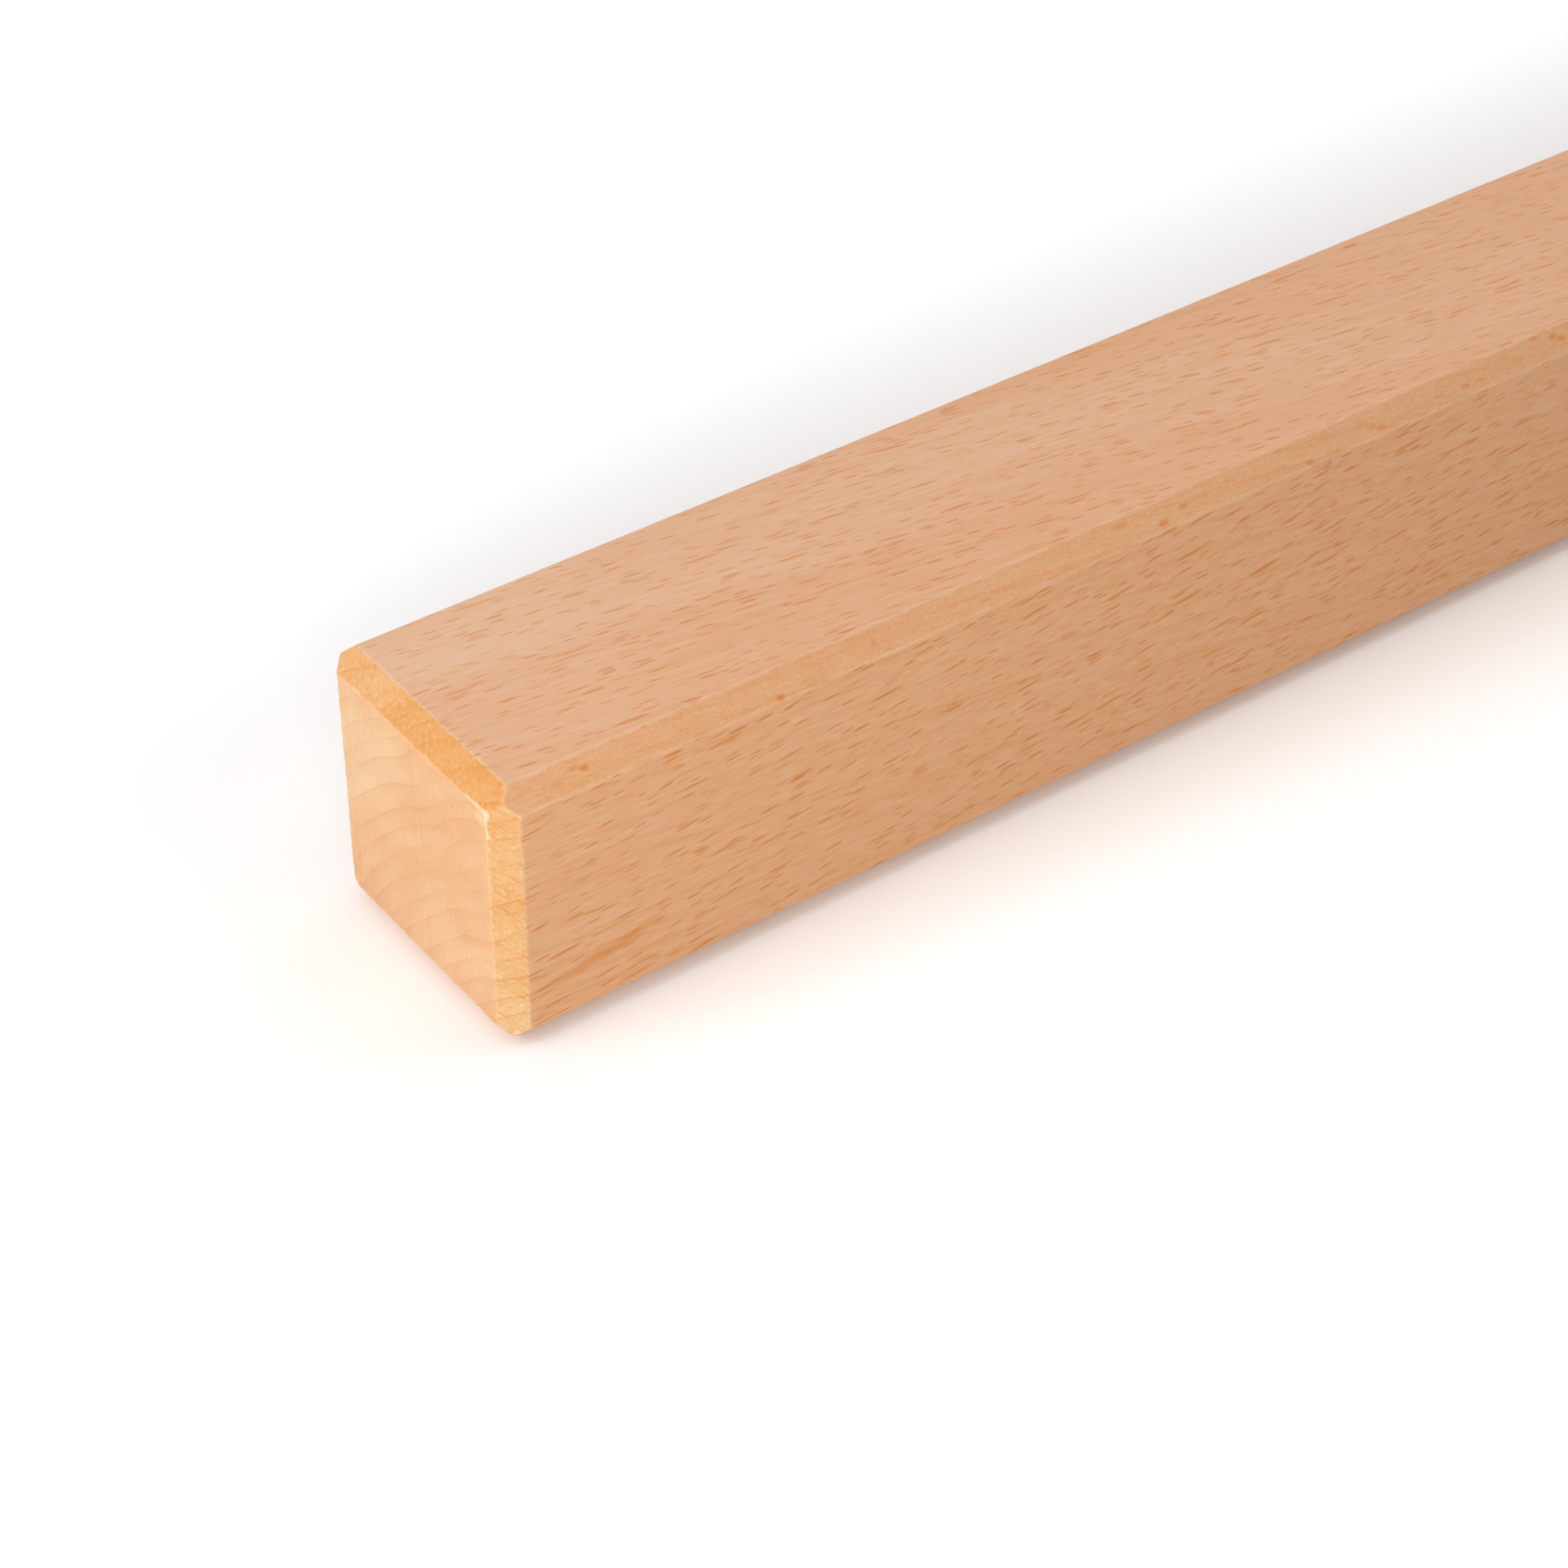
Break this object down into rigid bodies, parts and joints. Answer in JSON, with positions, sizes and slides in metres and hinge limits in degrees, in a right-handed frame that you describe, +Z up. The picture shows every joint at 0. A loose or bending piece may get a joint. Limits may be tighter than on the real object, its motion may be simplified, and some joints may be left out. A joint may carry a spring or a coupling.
{
  "type": "stair handrail length",
  "caption": "Straight square beech handrail stock with small flat bevels along the long edges and round both ends, laid on brackets or posts to make a stair rail.",
  "frame": {"origin": "middle of the underside, half way along the rail", "axes": "+X along the rail, +Y across it, +Z up away from the underside"},
  "size_m": [1, 0.04, 0.04],
  "materials": {
    "beech": "planed and sanded, unfinished"
  },
  "bodies": {
    "root": {"handrail": "beech"}
  },
  "joints": []
}
